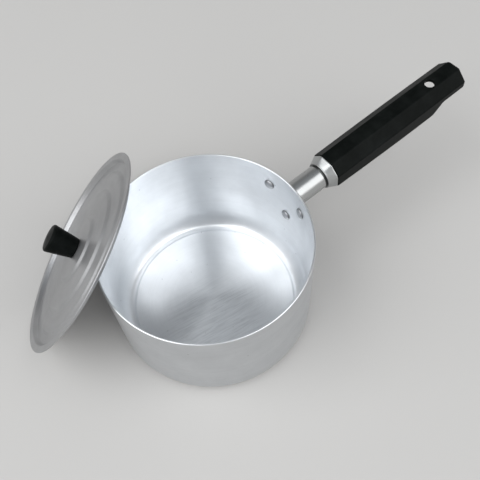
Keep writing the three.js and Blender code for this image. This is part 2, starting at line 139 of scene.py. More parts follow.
def run(line):
    """Distance along a line at each of its points: the lengths of its parts, added up from 0."""
    return np.append(0, np.cumsum(np.linalg.norm(np.diff(line, axis=0), axis=1)))


def spread(line, step):
    """The same line with extra points, so that none lie further apart than step along it."""
    length = run(line)
    count = int(length[-1] / step) + 2
    places = np.union1d(np.round(length, 6), np.round(np.linspace(0, length[-1], count), 6))
    return np.stack([np.interp(places, length, line[:, k]) for k in range(line.shape[1])], axis=1)


def turned(line, segments):
    """Grid of a lathe shape: every (radius, height) of the line carried round +Z at even angles."""
    angle = np.linspace(0, 2 * np.pi, segments, endpoint=False)
    radius, height = line[:, 0, None], line[:, 1, None]
    return np.stack([radius * np.cos(angle), radius * np.sin(angle), height + 0 * angle], axis=-1)


def shaded(mesh):
    """Smooth shading, left sharp where two faces turn by more than SHARP_ANGLE."""
    mesh.shade_smooth()
    mesh.set_sharp_from_angle(angle=math.radians(SHARP_ANGLE))


def skin(name, grid, ring=False):
    """Mesh over a grid of points: four neighbours make a face, each row closes on itself, and with ring
    the last row joins the first. UV map lay holds the distance along the columns and the turn."""
    rows, columns = grid.shape[:2]
    line = np.concatenate([grid, grid[:1]]) if ring else grid
    span = np.linalg.norm(np.diff(line, axis=0), axis=2).max(axis=1)
    along = np.append(0, np.cumsum(span)) / MM_PER_METRE
    i, j = np.meshgrid(np.arange(len(line) - 1), np.arange(columns), indexing="ij")
    here = i * columns
    ahead = (i + 1) % rows * columns
    beside = (j + 1) % columns
    faces = np.stack([here + j, here + beside, ahead + beside, ahead + j], axis=-1)
    u = np.stack([along[i], along[i], along[i + 1], along[i + 1]], axis=-1)
    v = np.stack([j, j + 1, j + 1, j], axis=-1) / columns
    mesh = bpy.data.meshes.new(name)
    mesh.from_pydata((grid.reshape(-1, 3) / MM_PER_METRE).tolist(), [], faces.reshape(-1, 4).tolist())
    lay = np.stack([u, v], axis=-1).astype(np.float32)
    mesh.uv_layers.new(name="lay").data.foreach_set("uv", lay.ravel())
    work = bmesh.new()
    work.from_mesh(mesh)
    bmesh.ops.remove_doubles(work, verts=work.verts, dist=MERGE_DISTANCE)
    bmesh.ops.recalc_face_normals(work, faces=work.faces)
    work.to_mesh(mesh)
    work.free()
    shaded(mesh)
    made = bpy.data.objects.new(name, mesh)
    bpy.context.scene.collection.objects.link(made)
    return made


def fed(tree, made, inputs):
    """Gives a node its inputs: a value is set on its socket, and another node's output is linked."""
    for key, value in dict(inputs).items():
        if isinstance(value, bpy.types.NodeSocket):
            tree.links.new(value, made.inputs[key])
        else:
            made.inputs[key].default_value = value


def node(tree, kind, inputs=(), **settings):
    """New shader node of a kind, with its settings and its inputs."""
    made = tree.nodes.new(kind)
    for key, value in settings.items():
        setattr(made, key, value)
    fed(tree, made, inputs)
    return made


def shader(name):
    """New material with its node tree and its one surface shader."""
    made = bpy.data.materials.new(name)
    made.use_nodes = True
    return made, made.node_tree, made.node_tree.nodes["Principled BSDF"]


def own_place(tree):
    """Place in the part's own space, in metres."""
    return node(tree, "ShaderNodeTexCoord").outputs["Object"]


def lay_place(tree):
    """Place on the skin: metres along the columns, and the share of a turn."""
    return node(tree, "ShaderNodeUVMap", uv_map="lay").outputs["UV"]


def lay_run(tree):
    """Metres along the columns of the skin."""
    return node(tree, "ShaderNodeSeparateXYZ", {0: lay_place(tree)}).outputs["X"]


def ranged(tree, value, low, high, start, end):
    """A value that runs from start to end, brought into low to high and held there."""
    inputs = {"Value": value, "From Min": start, "From Max": end, "To Min": low, "To Max": high}
    return node(tree, "ShaderNodeMapRange", inputs).outputs["Result"]


def blended(tree, share, first, second, kind="MIX"):
    """Colour that goes from the first to the second as share goes from 0 to 1. With MULTIPLY it goes from
    the first to the product of the two."""
    first, second = (c if isinstance(c, bpy.types.NodeSocket) else (*c, 1) for c in (first, second))
    inputs = {MIX_SHARE: share, MIX_FIRST: first, MIX_SECOND: second}
    return node(tree, "ShaderNodeMix", inputs, data_type="RGBA", blend_type=kind).outputs[MIX_RESULT]


def maths(tree, kind, first, second):
    """Two numbers put together by a math node."""
    return node(tree, "ShaderNodeMath", {0: first, 1: second}, operation=kind).outputs[0]


def weighed(tree, first, second, share):
    """Two values added, the first times its share and the second times the rest."""
    first_part = maths(tree, "MULTIPLY", first, share)
    second_part = maths(tree, "MULTIPLY", second, 1 - share)
    return maths(tree, "ADD", first_part, second_part)


def noise(tree, place, scale, detail, roughness=0.5, distortion=0.0):
    """Soft noise at a place, with scale waves to each unit of it."""
    waves = {"Scale": scale, "Detail": detail, "Roughness": roughness, "Distortion": distortion}
    return node(tree, "ShaderNodeTexNoise", {"Vector": place, **waves}).outputs["Fac"]


def ring_noise(tree, along, scale, detail):
    """Noise along the profile alone, the same all the way round, with scale waves to the metre."""
    inputs = {"W": maths(tree, "MULTIPLY", along, scale), "Scale": 1.0, "Detail": detail}
    return node(tree, "ShaderNodeTexNoise", inputs, noise_dimensions="1D").outputs["Fac"]


def bumped(tree, height, strength, distance):
    """Normal of a surface that a height from 0 to 1 lifts by up to distance."""
    inputs = {"Height": height, "Strength": strength, "Distance": distance}
    return node(tree, "ShaderNodeBump", inputs).outputs["Normal"]


def toned(colour, share):
    """A colour times a share, held at 1."""
    return tuple(min(1.0, c * share) for c in colour)


def spun_aluminium(name, colour, roughness, anisotropy):
    """Satin metal off a lathe: noise along the profile gives fine and broad rings, soft noise in the
    part's own space gives handling marks, and the two added vary the tone and the gloss. The middles of
    a few cells laid loosely over the skin are dark specks. The grain lies round the axis."""
    made, tree, surface = shader(name)
    along = lay_run(tree)
    fine = ring_noise(tree, along, *FINE_RINGS)
    broad = ring_noise(tree, along, *BROAD_RINGS)
    rings = weighed(tree, fine, broad, FINE_SHARE)
    tone = weighed(tree, rings, noise(tree, own_place(tree), *HANDLING_MARKS), RING_SHARE)
    clean = ranged(tree, tone, 0.0, 1.0, *TONE_SPAN)
    tint = blended(tree, clean, toned(colour, DULL_TONE), toned(colour, CLEAN_TONE))
    laid = node(tree, "ShaderNodeMapping", {"Vector": lay_place(tree), "Scale": SPECK_GRID})
    cell_inputs = {"Vector": laid.outputs["Vector"], "Scale": 1.0}
    cells = node(tree, "ShaderNodeTexVoronoi", cell_inputs, voronoi_dimensions="2D")
    pick = node(tree, "ShaderNodeSeparateColor", {0: cells.outputs["Color"]}).outputs["Red"]
    few = ranged(tree, pick, 0.0, SPECK_STRENGTH, *SPECK_RARITY)
    middle = ranged(tree, cells.outputs["Distance"], 1.0, 0.0, *SPECK_BORDER)
    tint = blended(tree, maths(tree, "MULTIPLY", few, middle), tint, toned(colour, SPECK_TONE))
    grain = node(tree, "ShaderNodeTangent", direction_type="UV_MAP", uv_map="lay")
    fed(tree, surface, {
        "Base Color": tint,
        "Metallic": 1.0,
        "Roughness": ranged(tree, tone, roughness + GLOSS_SPREAD, roughness - GLOSS_SPREAD, *TONE_SPAN),
        "Normal": bumped(tree, rings, *RING_BUMP),
        "Anisotropic": anisotropy,
        "Tangent": grain.outputs["Tangent"],
    })
    return made, tree, surface, tint


floor_top = PAN_FLOOR + FLOOR_PANEL_RISE
rim_round = PAN_WALL * RIM_ROUND_SHARE
wall_slope = (PAN_RIM_RADIUS - PAN_FOOT_RADIUS) / (PAN_HEIGHT - PAN_FLOOR)
cove_reach = PAN_FOOT_RADIUS - PAN_WALL + wall_slope * COVE_HEIGHT
pan_line = rounded([
    (0, 0, 0),
    (PAN_FOOT_RADIUS, 0, PAN_OUTER_CORNER),
    (PAN_RIM_RADIUS, PAN_HEIGHT, rim_round),
    (PAN_RIM_RADIUS - PAN_WALL, PAN_HEIGHT, rim_round),
    (cove_reach, PAN_FLOOR + COVE_HEIGHT, COVE_HIGH_RADIUS),
    (cove_reach - COVE_HEIGHT, PAN_FLOOR, COVE_LOW_RADIUS),
    (FLOOR_PANEL_RADIUS, PAN_FLOOR, FLOOR_PANEL_BEND),
    (FLOOR_PANEL_RADIUS - FLOOR_PANEL_EDGE, floor_top, FLOOR_PANEL_BEND),
    (0, floor_top, 0),
], steps=PAN_ARC_STEPS)
pan_profile = spread(pan_line, PAN_STEP)
pan = skin("pan_shell", turned(pan_profile, PAN_SEGMENTS))

pan_metal, pan_tree, pan_surface, pan_tint = spun_aluminium(
    "satin_pan_aluminium", PAN_COLOUR, PAN_ROUGHNESS, PAN_ANISOTROPY)
# The underside and the outer wall, up to the rim, are painted darker than the inside: painted shade, a
# darker reflection painted on the outside.
rim_run = run(pan_profile)[pan_profile[:, 1].argmax()]
outside_shade_span = (rim_run - PAN_RIM_BLEND) / MM_PER_METRE, rim_run / MM_PER_METRE
outside = ranged(pan_tree, lay_run(pan_tree), 1.0, 0.0, *outside_shade_span)
pan_tint = blended(pan_tree, outside, pan_tint, PAN_OUTSIDE_SHADE_TONE, kind="MULTIPLY")

# Scratches: streaks on the floor and on nothing above it, rubbed in unevenly, fading out round one place.
pan_spot = own_place(pan_tree)
streak_inputs = {"Vector": pan_spot, "Rotation": (0, 0, math.radians(STREAK_ANGLE)), "Scale": STREAK_SIZE}
streak_spot = node(pan_tree, "ShaderNodeMapping", streak_inputs, vector_type="TEXTURE").outputs["Vector"]
streak_waves = noise(pan_tree, streak_spot, *STREAK_NOISE)
streaks = ranged(pan_tree, streak_waves, 0.0, SCRATCH_STRENGTH, *STREAK_SPAN)
smudges = noise(pan_tree, pan_spot, *SMUDGE_NOISE)
rubbed = ranged(pan_tree, smudges, SMUDGE_LEAST, 1.0, *SMUDGE_SPAN)
height = node(pan_tree, "ShaderNodeSeparateXYZ", {0: pan_spot}).outputs["Z"]
floor_span = (floor_top - FLOOR_BLEND) / MM_PER_METRE, (floor_top + FLOOR_BLEND) / MM_PER_METRE
on_floor = ranged(pan_tree, height, 1.0, 0.0, *floor_span)
offset = node(pan_tree, "ShaderNodeVectorMath", {0: pan_spot, 1: SCRATCH_PLACE}, operation="DISTANCE")
scratch = ranged(pan_tree, offset.outputs["Value"], 1.0, 0.0, *SCRATCH_REACH)
for mask in (rubbed, on_floor, streaks):
    scratch = maths(pan_tree, "MULTIPLY", scratch, mask)
fed(pan_tree, pan_surface, {"Base Color": blended(pan_tree, scratch, pan_tint, SCRATCH_COLOUR)})
pan.data.materials.append(pan_metal)
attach(pan, "pan")
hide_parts("pan_body")

# Handle bracket. A steel plate pressed to the wall's curve with a round shank drawn out of it, plated
# and polished. Three rivets hold it to the wall, and the collar and grip screw up against its end.
SEAT_GAP = 0.3
HANDLE_HEIGHT = 71.0
HANDLE_RISE = 3.2
PLATE_THICKNESS = 2.0
PLATE_MARGIN = 8.5
PLATE_EDGE = 0.7
PLATE_TRIES = 6
OUTLINE_TURNS = 720
OUTLINE_FACING = 0.2
TUBE_RADIUS = 10.2
TUBE_LENGTH = 31.0
TUBE_WALL = 1.2
TUBE_LIP = 0.35
TUBE_FILLET = 3.5
HANDLE_SEGMENTS = 128
QUARTER_STEPS = 9
PLATE_STEPS = 16
RIVET_SPREAD = 13.5
RIVET_HEIGHTS = (75.1, 75.1, 50.6)
STEEL_COLOUR = (0.47, 0.48, 0.48)
SHANK_ROUGHNESS = 0.29
POLISH_SIZE = (0.033, 0.0024, 0.0024)
POLISH_NOISE = (1.0, 3.0)
POLISH_BUMP = (0.01, 0.0001)
SMEAR_NOISE = (90.0, 4.0)
POLISH_SHARE = 0.5
POLISH_DULL_TONE = 0.94
POLISH_GLOSS_SPREAD = 0.03


def wall_radius(z):
    """Outside of the pan's wall at a height: it opens evenly from the base corner to the rim."""
    share = (z - PAN_OUTER_CORNER) / (PAN_HEIGHT - PAN_OUTER_CORNER)
    return PAN_FOOT_RADIUS + (PAN_RIM_RADIUS - PAN_FOOT_RADIUS) * share


rise = math.radians(HANDLE_RISE)
handle_axes = np.array([
    [math.cos(rise), 0, math.sin(rise)],
    [0, 1, 0],
    [-math.sin(rise), 0, math.cos(rise)],
])
handle_origin = np.array([wall_radius(HANDLE_HEIGHT), 0, HANDLE_HEIGHT])


def on_handle(points):
    """Points along, beside and above the handle's axis, moved to their place in the part."""
    return points @ handle_axes + handle_origin


def round_axis(x, radius, angle):
    """Points at a distance along an x axis and a radius about it."""
    x, radius, angle = np.broadcast_arrays(x, radius, angle)
    return np.stack([x, radius * np.cos(angle), radius * np.sin(angle)], axis=-1)


def plate_x(radius, angle, off):
    """Distance along the handle at which a line beside its axis meets the wall's curve, off outside it.
    A few steps along the axis by the miss at each try settle it."""
    x = np.zeros(np.broadcast(radius, angle, off).shape)
    for _ in range(PLATE_TRIES):
        place = on_handle(round_axis(x, radius, angle))
        x = x + wall_radius(place[..., 2]) + off - np.hypot(place[..., 0], place[..., 1])
    return x


# The plate's edge: lines at every turn, a margin outside the rivets, and at each angle the nearest one.
handle_turn = np.linspace(0, 2 * np.pi, HANDLE_SEGMENTS, endpoint=False)
rivet_side = wall_radius(RIVET_HEIGHTS[0]) * math.sin(math.radians(RIVET_SPREAD))
rivet_spots = np.stack([(rivet_side, -rivet_side, 0), RIVET_HEIGHTS], axis=1)
line_turn = np.linspace(0, 2 * np.pi, OUTLINE_TURNS)
line_reach = (rivet_spots - [0, HANDLE_HEIGHT]) @ np.stack([np.cos(line_turn), np.sin(line_turn)])
support = line_reach.max(axis=0)[:, None] + PLATE_MARGIN
facing = np.cos(handle_turn - line_turn[:, None])
distance = support / np.maximum(facing, OUTLINE_FACING)
outline = np.where(facing < OUTLINE_FACING, np.inf, distance).min(axis=0)
fillet_end = TUBE_RADIUS + TUBE_FILLET
outline = np.maximum(outline, fillet_end + PLATE_EDGE + SEAT_GAP)

shank_bore = TUBE_RADIUS - TUBE_WALL
plate_face = SEAT_GAP + PLATE_THICKNESS
tube_end = TUBE_LENGTH - TUBE_LIP
tube_foot = plate_x(TUBE_RADIUS, handle_turn, plate_face) + TUBE_FILLET

# Round a quarter of a circle, opening goes from 0 to 1 and closing from 1 to 0.
quarter = np.linspace(0, np.pi / 2, QUARTER_STEPS)[:, None]
opening = 1 - np.cos(quarter)
closing = 1 - np.sin(quarter)
share = np.linspace(0, 1, PLATE_STEPS)[:, None]
fillet = TUBE_RADIUS + TUBE_FILLET * opening[1:]
fillet_x = plate_x(fillet, handle_turn, plate_face) + TUBE_FILLET * closing[1:]
flat = fillet_end + (outline - PLATE_EDGE - fillet_end) * share[1:]
edge = outline - PLATE_EDGE * closing[1:]
under = outline + (shank_bore - outline) * share
bracket_rows = [
    round_axis(TUBE_LENGTH - TUBE_LIP * closing, shank_bore + TUBE_LIP * opening, handle_turn),
    round_axis(TUBE_LENGTH - TUBE_LIP * opening, TUBE_RADIUS - TUBE_LIP * closing, handle_turn),
    round_axis(tube_end + (tube_foot - tube_end) * share[1:], TUBE_RADIUS, handle_turn),
    round_axis(fillet_x, fillet, handle_turn),
    round_axis(plate_x(flat, handle_turn, plate_face), flat, handle_turn),
    round_axis(plate_x(edge, handle_turn, plate_face - PLATE_EDGE * opening[1:]), edge, handle_turn),
    round_axis(plate_x(under, handle_turn, SEAT_GAP), under, handle_turn),
]
bracket = skin("handle_shank", on_handle(np.concatenate(bracket_rows)), ring=True)


def polished_metal(name, colour, roughness):
    """Bright plated or turned metal: fine polishing lines, noise drawn out along the handle, and faint
    smears, noise in the part's own space. The two added vary the tone and the gloss."""
    made, tree, surface = shader(name)
    spot = own_place(tree)
    drawn_inputs = {"Vector": spot, "Rotation": (0, -rise, 0), "Scale": POLISH_SIZE}
    drawn = node(tree, "ShaderNodeMapping", drawn_inputs, vector_type="TEXTURE").outputs["Vector"]
    lines = noise(tree, drawn, *POLISH_NOISE)
    tone = weighed(tree, lines, noise(tree, spot, *SMEAR_NOISE), POLISH_SHARE)
    clean = ranged(tree, tone, 0.0, 1.0, *TONE_SPAN)
    tint = blended(tree, clean, toned(colour, POLISH_DULL_TONE), colour)
    rougher, smoother = roughness + POLISH_GLOSS_SPREAD, roughness - POLISH_GLOSS_SPREAD
    fed(tree, surface, {
        "Base Color": tint,
        "Metallic": 1.0,
        "Roughness": ranged(tree, tone, rougher, smoother, *TONE_SPAN),
        "Normal": bumped(tree, lines, *POLISH_BUMP),
    })
    return made, tree, surface, tint


bracket.data.materials.append(polished_metal("polished_shank_steel", STEEL_COLOUR, SHANK_ROUGHNESS)[0])
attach(bracket, "pan")
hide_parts("handle_bracket")

# Rivets. Three aluminium rivets through the wall and the plate, one to each side of the shank and one
# below it. Each is closed with a low domed head inside the pan and another on the plate.
RIVET_NAMES = ("rivet_upper_left", "rivet_upper_right", "rivet_lower")
RIVET_ANGLES = (RIVET_SPREAD, -RIVET_SPREAD, 0.0)
RIVET_SHANK_RADIUS = 2.2
RIVET_HEAD_RADIUS = 4.4
RIVET_HEAD_HEIGHT = 1.6
RIVET_SEGMENTS = 48
DOME_STEPS = 13
DOME_RADIUS_POWER = 0.8
DOME_RISE_POWER = 0.9
RIVET_COLOUR = (0.50, 0.51, 0.53)
RIVET_ROUGHNESS = 0.40
RIVET_ANISOTROPY = 0.3

rivet_metal = spun_aluminium("satin_rivet_aluminium", RIVET_COLOUR, RIVET_ROUGHNESS, RIVET_ANISOTROPY)[0]
dome = np.linspace(0, np.pi / 2, DOME_STEPS)
dome_radius = RIVET_HEAD_RADIUS * np.sin(dome) ** DOME_RADIUS_POWER
dome_rise = RIVET_HEAD_HEIGHT * np.cos(dome) ** DOME_RISE_POWER
for name, rivet_height, degrees in zip(RIVET_NAMES, RIVET_HEIGHTS, RIVET_ANGLES):
    inner = wall_radius(rivet_height) - PAN_WALL - SEAT_GAP
    outer = wall_radius(rivet_height) + plate_face + SEAT_GAP
    rivet_line = np.concatenate([
        np.stack([dome_radius, inner - dome_rise], axis=1),
        [[RIVET_SHANK_RADIUS, inner], [RIVET_SHANK_RADIUS, outer]],
        np.stack([dome_radius, outer + dome_rise], axis=1)[::-1],
    ])
    a = math.radians(degrees)
    rivet_axes = np.array([[math.cos(a), math.sin(a), 0], [-math.sin(a), math.cos(a), 0], [0, 0, 1]])
    rivet_grid = turned(rivet_line, RIVET_SEGMENTS)[..., [2, 0, 1]] @ rivet_axes + [0, 0, rivet_height]
    rivet = skin(name + "_head", rivet_grid)
    rivet.data.materials.append(rivet_metal)
    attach(rivet, "pan")
    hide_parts(name)

# Bracket nut. A steel plug turned to the shank's bore, tapped through its middle for the stud and fixed in
# the shank's open end. The collar closes it in, out of sight.
STUD_RADIUS = 3.0
THREAD_PITCH = 1.0
THREAD_DEPTH = 0.5
THREAD_STEPS = 8
FIXING_SEGMENTS = 96
FIXING_EASE = 0.4
NUT_LENGTH = 8.0
SPIGOT_LENGTH = 3.2
FIXING_COLOUR = (0.56, 0.57, 0.58)
FIXING_ROUGHNESS = 0.34

fixing_turn = np.linspace(0, 2 * np.pi, FIXING_SEGMENTS, endpoint=False)


def stops(start, end, pitch):
    """Even stops along an axis, as a column, with THREAD_STEPS of them to each pitch."""
    return np.linspace(start, end, round((end - start) / pitch * THREAD_STEPS) + 1)[:, None]


def thread(x, angle, pitch):
    """Depth of a V thread, from 0 at its crest to 1 at its root: a triangle wave along the axis that
    moves on by one pitch in each turn."""
    return np.abs(2 * ((x / pitch - angle / (2 * np.pi)) % 1) - 1)


def eased(x, radius, drop):
    """Outside radius with both ends cut back by drop, at 45 degrees."""
    return np.minimum(radius, radius.max() - drop + np.minimum(x - x[0], x[-1] - x))


def tapped(x, hole, pitch, depth):
    """Radius of a hole with a thread cut into it, countersunk at both ends."""
    return -eased(x, -(hole + depth * (1 - thread(x, fixing_turn, pitch))), FIXING_EASE)


def sleeve(x, outside, inside):
    """Grid of a sleeve about its axis: out along the outside and back along the inside."""
    out = round_axis(x, outside, fixing_turn)
    back = round_axis(x[::-1], inside[::-1], fixing_turn)
    return np.concatenate([out, back])


stud_bore = STUD_RADIUS + SEAT_GAP
spigot_radius = shank_bore - SEAT_GAP
spigot_start = TUBE_LENGTH - SPIGOT_LENGTH
nut_end = spigot_start - SEAT_GAP
nut_x = stops(nut_end - NUT_LENGTH, nut_end, THREAD_PITCH)
nut_side = eased(nut_x, np.full_like(nut_x, spigot_radius), FIXING_EASE)
nut_hole = tapped(nut_x, stud_bore, THREAD_PITCH, THREAD_DEPTH)
nut = skin("bracket_nut_plug", on_handle(sleeve(nut_x, nut_side, nut_hole)), ring=True)
fixing_steel = polished_metal("plated_fixing_steel", FIXING_COLOUR, FIXING_ROUGHNESS)[0]
nut.data.materials.append(fixing_steel)
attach(nut, "pan")
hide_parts("bracket_nut")

# Collar. A bright ferrule between the shank and the grip: round in front behind a dark groove, opening
# to the grip's eight sides at the back. Its nose sits inside the shank and the stud passes through it.
GROOVE_WIDTH = 1.6
COLLAR_FRONT_RADIUS = 11.65
COLLAR_LENGTH = 7.6
COLLAR_STEP = 0.3
COLLAR_EDGE = 0.6
COLLAR_CORNER = 5.5
COLLAR_ROWS = 14
COLLAR_ROUGHNESS = 0.34
GROOVE_SHADE_END = 6.4
GROOVE_SHADE_COLOUR = (0.220, 0.226, 0.223)
GRIP_FLATS = 28.8
HALF_FACET = math.pi / 8


def eight_sided(angle, half, corner):
    """Distance from the axis to an octagon with a flat on top and rounded corners: half over the cosine
    of the angle from the flat's middle, and near a corner the far side of a circle that touches both
    flats."""
    offset = angle - 2 * HALF_FACET * np.round(angle / (2 * HALF_FACET))
    centre = (half - corner) / math.cos(HALF_FACET)
    beside = HALF_FACET - np.abs(offset)
    across = np.clip(corner ** 2 - (centre * np.sin(beside)) ** 2, 0, None)
    arc = centre * np.cos(beside) + np.sqrt(across)
    touch = math.atan(centre * math.sin(HALF_FACET) / half)
    return np.where(np.abs(offset) > touch, arc, half / np.cos(offset))


collar_front = TUBE_LENGTH + GROOVE_WIDTH
collar_back = collar_front + COLLAR_LENGTH
octagon = eight_sided(handle_turn, GRIP_FLATS / 2 - COLLAR_STEP, COLLAR_CORNER)
swell = np.linspace(0, 1, COLLAR_ROWS)[:, None]
body_x = collar_front + COLLAR_EDGE + (COLLAR_LENGTH - 2 * COLLAR_EDGE) * swell
body_radius = COLLAR_FRONT_RADIUS + (octagon - COLLAR_FRONT_RADIUS) * swell
front_x = collar_front + COLLAR_EDGE * opening[:-1]
front_radius = COLLAR_FRONT_RADIUS - COLLAR_EDGE * closing[:-1]
back_x = collar_back - COLLAR_EDGE * closing[1:]
back_radius = octagon - COLLAR_EDGE * opening[1:]
collar_rows = [
    round_axis(np.array([[spigot_start], [collar_front]]), spigot_radius, handle_turn),
    round_axis(front_x, front_radius, handle_turn),
    round_axis(body_x, body_radius, handle_turn),
    round_axis(back_x, back_radius, handle_turn),
    round_axis(np.array([[collar_back], [spigot_start]]), stud_bore, handle_turn),
]
collar = skin("handle_ferrule", on_handle(np.concatenate(collar_rows)), ring=True)
collar_steel, collar_tree, collar_surface, collar_tint = polished_metal(
    "polished_collar_steel", STEEL_COLOUR, COLLAR_ROUGHNESS)
# The spigot and the collar's front face, down in the groove, are painted dark: painted shade in the groove
# between shank and collar.
groove_shade_span = GROOVE_SHADE_END / MM_PER_METRE, (GROOVE_SHADE_END + COLLAR_EDGE) / MM_PER_METRE
groove_shade = ranged(collar_tree, lay_run(collar_tree), 1.0, 0.0, *groove_shade_span)
fed(collar_tree, collar_surface, {"Base Color": blended(collar_tree, groove_shade, collar_tint, GROOVE_SHADE_COLOUR)})
collar.data.materials.append(collar_steel)
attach(collar, "pan")
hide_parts("handle_collar")

# Grip insert. A brass sleeve, tapped for the stud and cross-knurled outside so that the moulding holds it.
# It is set in the front of the grip when that is moulded.
INSERT_RADIUS = 6.0
INSERT_LENGTH = 24.0
INSERT_INSET = 1.0
KNURL_PITCH = 1.5
KNURL_DEPTH = 0.4
GRIP_KNURLS = 24
BRASS_COLOUR = (0.72, 0.56, 0.28)
BRASS_ROUGHNESS = 0.32


def knurled(x, radius, count):
    """Radius of a cross-knurled bar: two sets of V grooves wind round it in opposite directions, and the
    deeper of the two is cut."""
    one_way = thread(x, count * fixing_turn, KNURL_PITCH)
    other_way = thread(x, -count * fixing_turn, KNURL_PITCH)
    return eased(x, radius - KNURL_DEPTH * np.maximum(one_way, other_way), FIXING_EASE)


grip_front = collar_back + SEAT_GAP
insert_start = grip_front + INSERT_INSET
insert_x = stops(insert_start, insert_start + INSERT_LENGTH, THREAD_PITCH)
insert_side = knurled(insert_x, INSERT_RADIUS, GRIP_KNURLS)
insert_hole = tapped(insert_x, stud_bore, THREAD_PITCH, THREAD_DEPTH)
insert = skin("grip_insert_sleeve", on_handle(sleeve(insert_x, insert_side, insert_hole)), ring=True)
insert_brass = polished_metal("turned_insert_brass", BRASS_COLOUR, BRASS_ROUGHNESS)[0]
insert.data.materials.append(insert_brass)
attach(insert, "pan")
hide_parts("grip_insert")

# Handle stud. A steel rod threaded from end to end. It runs from the nut through the collar into the
# grip's insert, and draws the three together when the grip is screwed on.
STUD_NUT_OVERRUN = 1.5
STUD_INSERT_OVERRUN = 3.0
STUD_END_CHAMFER = 0.8


def rod(x, radius):
    """Grid of a rod about its axis, closed by a point on the axis at each end."""
    start = round_axis(x[:1], 0, fixing_turn)
    end = round_axis(x[-1:], 0, fixing_turn)
    return np.concatenate([start, round_axis(x, radius, fixing_turn), end])


stud_x = stops(nut_x[0, 0] - STUD_NUT_OVERRUN, insert_x[-1, 0] + STUD_INSERT_OVERRUN, THREAD_PITCH)
stud_thread = STUD_RADIUS - THREAD_DEPTH * thread(stud_x, fixing_turn, THREAD_PITCH)
stud = skin("handle_stud_rod", on_handle(rod(stud_x, eased(stud_x, stud_thread, STUD_END_CHAMFER))))
stud.data.materials.append(fixing_steel)
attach(stud, "pan")
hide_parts("handle_stud")

# Grip. An eight-sided bar moulded in black bakelite round its brass insert, a little deeper towards its
# end, where the underside is cut away to a hanging end with a round hole. The end is cored from below.
GRIP_LENGTH = 145.0
GRIP_SWELL = 0.3
GRIP_FRONT_EDGE = 0.6
GRIP_CORNER = 1.6
CORNER_POINTS = 6
CORNER_ROOM = 2.2
BELLY_DROP = 2.0
BELLY_LENGTH = 106.0
BELLY_LEAD = 6.0
BELLY_OVERRUN = 1.0
BELLY_BEND = 4.0
BELLY_POINTS = 40
BELLY_ROUND = 2.0
UNDERCUT_RUN = 10.0
TAB_UNDERSIDE = -1.0
TAB_EDGE_CHAMFER = 1.2
TAB_END_CHAMFER_LENGTH = 4.0
TAB_END_CHAMFER = 3.5
TAB_END_ROWS = 14
TAB_WALL = 3.0
TAB_END_WALL = 4.0
GRIP_STEP = 2.0
UNDERCUT_STEP = 0.75
UNDERCUT_TAIL = 6.0
TAB_STEP = 1.5
TAB_LEAD = 7.0
TAB_TAIL = 0.5
HANG_HOLE_RADIUS = 4.2
HANG_HOLE_EDGE = 0.7
HANG_HOLE_PLACE = 114.0
HANG_HOLE_SEGMENTS = 64
HANG_HOLE_OVERRUN = 4.0
POCKET_LEAD = 6.0
POCKET_BOTTOM = -40.0
POCKET_LOWER_CUT = 2.0
POCKET_CORNER = 1.2
BORE_END_ROOM = 2.0
BAKELITE_COLOUR = (0.0030, 0.0040, 0.0036)
BAKELITE_WORN_COLOUR = (0.0085, 0.0100, 0.0095)
BAKELITE_CLOUDS = (55.0, 6.0, 0.65)
BAKELITE_WORN_SPAN = (0.40, 0.72)
BAKELITE_ROUGHNESS = (0.34, 0.46)
BAKELITE_GRAIN = (900.0, 3.0)
BAKELITE_BUMP = (0.08, 0.0001)
BAKELITE_SPECULAR = 0.05


def grip_section(x, half, bottom, upper_cut, lower_cut, corner):
    """Rings of an eight-sided section at each x. Corners cut off a box by upper_cut and lower_cut are
    rounded by arcs that touch both sides, with a few points on each flat between them."""
    right = np.stack([
        np.stack([half - lower_cut, bottom], axis=-1),
        np.stack([half, bottom + lower_cut], axis=-1),
        np.stack([half, half - upper_cut], axis=-1),
        np.stack([half - upper_cut, half], axis=-1),
    ], axis=1)
    spots = np.concatenate([right, right[:, ::-1] * [-1, 1]], axis=1)
    back = unit(np.roll(spots, 1, axis=1) - spots)
    ahead = unit(np.roll(spots, -1, axis=1) - spots)
    room = np.linalg.norm(np.roll(spots, -1, axis=1) - spots, axis=2, keepdims=True)
    room = np.minimum(room, np.roll(room, 1, axis=1)) / CORNER_ROOM
    radius = np.minimum(corner, room * np.tan(half_angle(back, ahead)))
    share = np.linspace(0, 1, CORNER_POINTS)[:, None]
    arcs = corner_arc(spots, back, ahead, radius, share)
    following = np.roll(arcs, -1, axis=1)[:, :, :1]
    flats = arcs[:, :, -1:] + (following - arcs[:, :, -1:]) * share[1:-1]
    ring = np.concatenate([arcs, flats], axis=2).reshape(len(x), -1, 2)
    return np.concatenate([np.broadcast_to(x[:, None, None], ring.shape[:2] + (1,)), ring], axis=2)


